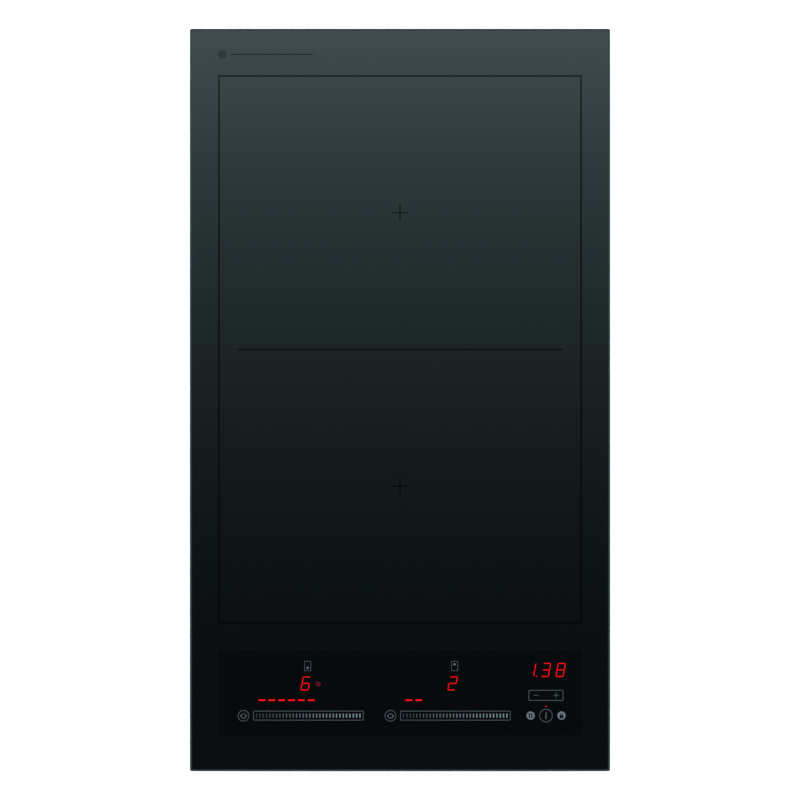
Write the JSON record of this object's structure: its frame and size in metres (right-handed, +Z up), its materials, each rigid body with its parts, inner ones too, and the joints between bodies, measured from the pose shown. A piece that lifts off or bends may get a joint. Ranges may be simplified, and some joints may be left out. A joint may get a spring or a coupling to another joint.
{
  "type": "built-in induction cooktop",
  "caption": "Narrow built-in induction cooktop: black glass top with touch controls over a stepped steel chassis holding coils, blower and electronics.",
  "frame": {"origin": "centre of the bounding box's underside, on the chassis base", "axes": "+X to the user's right, +Y from the user to the rear, +Z up out of the glass"},
  "size_m": [0.3, 0.53, 0.054],
  "materials": {
    "glass_ceramic": "polished opaque black glass-ceramic",
    "zone_print": "matt dark ceramic ink fused on the glass",
    "control_print": "grey-blue ceramic ink",
    "red_light": "red light-emitting segments behind the glass",
    "foam_seal": "closed-cell foam tape",
    "silicone": "black silicone adhesive",
    "galvanised_steel": "galvanised sheet with faint spangle",
    "zinc_fastener": "bright zinc plate",
    "rivet_metal": "satin blind rivet",
    "spring_steel": "drawn wire",
    "black_plastic": "fine-textured black moulding",
    "grey_plastic": "grey moulding",
    "cream_plastic": "heat-resistant cream moulding",
    "screen_aluminium": "rolled aluminium",
    "sink_aluminium": "extruded aluminium",
    "ferrite": "dark grey sintered ferrite",
    "litz_copper": "enamelled litz strands",
    "mica": "mica sheet",
    "sensor_cap": "white ceramic cap",
    "circuit_board": "green solder resist",
    "film_box": "cast resin box",
    "capacitor_sleeve": "shrink sleeve",
    "chip_resin": "moulded package",
    "relay_case": "blue relay case",
    "terminal_brass": "machined brass",
    "stator_steel": "stacked laminations",
    "bearing_bronze": "sintered bronze",
    "wire_jacket": "silicone and PVC wire jackets"
  },
  "bodies": {
    "cooktop": {"glass_top": "glass_ceramic", "worktop_seal": "foam_seal", "adhesive_beads": "silicone", "support_rails": "galvanised_steel", "side_screws": "zinc_fastener", "base_pan": "galvanised_steel", "front_end_plate": "galvanised_steel", "rear_end_plate": "galvanised_steel", "pan_rivets": "rivet_metal", "clamp_rivet_nuts": "zinc_fastener", "clamp_screws": "zinc_fastener", "intake_grille": "black_plastic", "cable_gland": "black_plastic", "gland_locknut": "black_plastic", "terminal_block": "cream_plastic", "coil_plate": "screen_aluminium", "coil_posts": "grey_plastic", "coil_plate_screws": "zinc_fastener", "coil_leads": "wire_jacket", "fan_housing": "black_plastic", "fan_cover": "black_plastic", "fan_bearing": "bearing_bronze", "fan_stator": "stator_steel", "power_board": "circuit_board", "board_standoffs": "grey_plastic", "board_screws": "zinc_fastener", "air_duct": "black_plastic", "heat_sink": "sink_aluminium", "power_transistors": "chip_resin", "film_capacitors": "film_box", "bulk_capacitor": "capacitor_sleeve", "choke_core": "ferrite", "choke_winding": "litz_copper", "standby_transformer": "ferrite", "board_relay": "relay_case", "coil_terminals": "terminal_brass", "wiring_loom": "wire_jacket", "control_tray": "grey_plastic", "control_board": "circuit_board", "display_modules": "grey_plastic", "touch_springs": "spring_steel", "rear_coil_carrier": "cream_plastic", "rear_coil_ferrites": "ferrite", "rear_coil_winding": "litz_copper", "rear_coil_mica": "mica", "rear_sensor_spring": "spring_steel", "front_coil_carrier": "cream_plastic", "front_coil_ferrites": "ferrite", "front_coil_winding": "litz_copper", "front_coil_mica": "mica", "front_sensor_spring": "spring_steel"},
    "fan_rotor": {"fan_impeller": "grey_plastic", "rotor_magnet": "ferrite", "fan_shaft": "spring_steel"},
    "rear_sensor": {"rear_temperature_sensor": "sensor_cap"},
    "front_sensor": {"front_temperature_sensor": "sensor_cap"},
    "front_left_clamp": {"front_left_clamp": "spring_steel"},
    "front_right_clamp": {"front_right_clamp": "spring_steel"},
    "rear_left_clamp": {"rear_left_clamp": "spring_steel"},
    "rear_right_clamp": {"rear_right_clamp": "spring_steel"}
  },
  "joints": [
    {"name": "fan_spin", "type": "hinge", "parent": "cooktop", "child": "fan_rotor", "pos_m": [-0.07, 0.15, 0.018], "axis": [0, 0, 1], "continuous": true},
    {"name": "rear_sensor_travel", "type": "slide", "parent": "cooktop", "child": "rear_sensor", "axis": [0, 0, 1], "range_m": [-0.0015, 0], "stiffness_N_per_m": 300, "springref_m": 0.003, "deforming": ["rear_sensor_spring"]},
    {"name": "front_sensor_travel", "type": "slide", "parent": "cooktop", "child": "front_sensor", "axis": [0, 0, 1], "range_m": [-0.0015, 0], "stiffness_N_per_m": 300, "springref_m": 0.003, "deforming": ["front_sensor_spring"]},
    {"name": "front_left_clamp_swivel", "type": "hinge", "parent": "cooktop", "child": "front_left_clamp", "pos_m": [-0.09, -0.229, 0.01725], "axis": [0, 0, -1], "range_deg": [0, 90]},
    {"name": "front_right_clamp_swivel", "type": "hinge", "parent": "cooktop", "child": "front_right_clamp", "pos_m": [0.09, -0.229, 0.01725], "axis": [0, 0, 1], "range_deg": [0, 90]},
    {"name": "rear_left_clamp_swivel", "type": "hinge", "parent": "cooktop", "child": "rear_left_clamp", "pos_m": [-0.09, 0.229, 0.01725], "axis": [0, 0, 1], "range_deg": [0, 90]},
    {"name": "rear_right_clamp_swivel", "type": "hinge", "parent": "cooktop", "child": "rear_right_clamp", "pos_m": [0.09, 0.229, 0.01725], "axis": [0, 0, -1], "range_deg": [0, 90]}
  ]
}
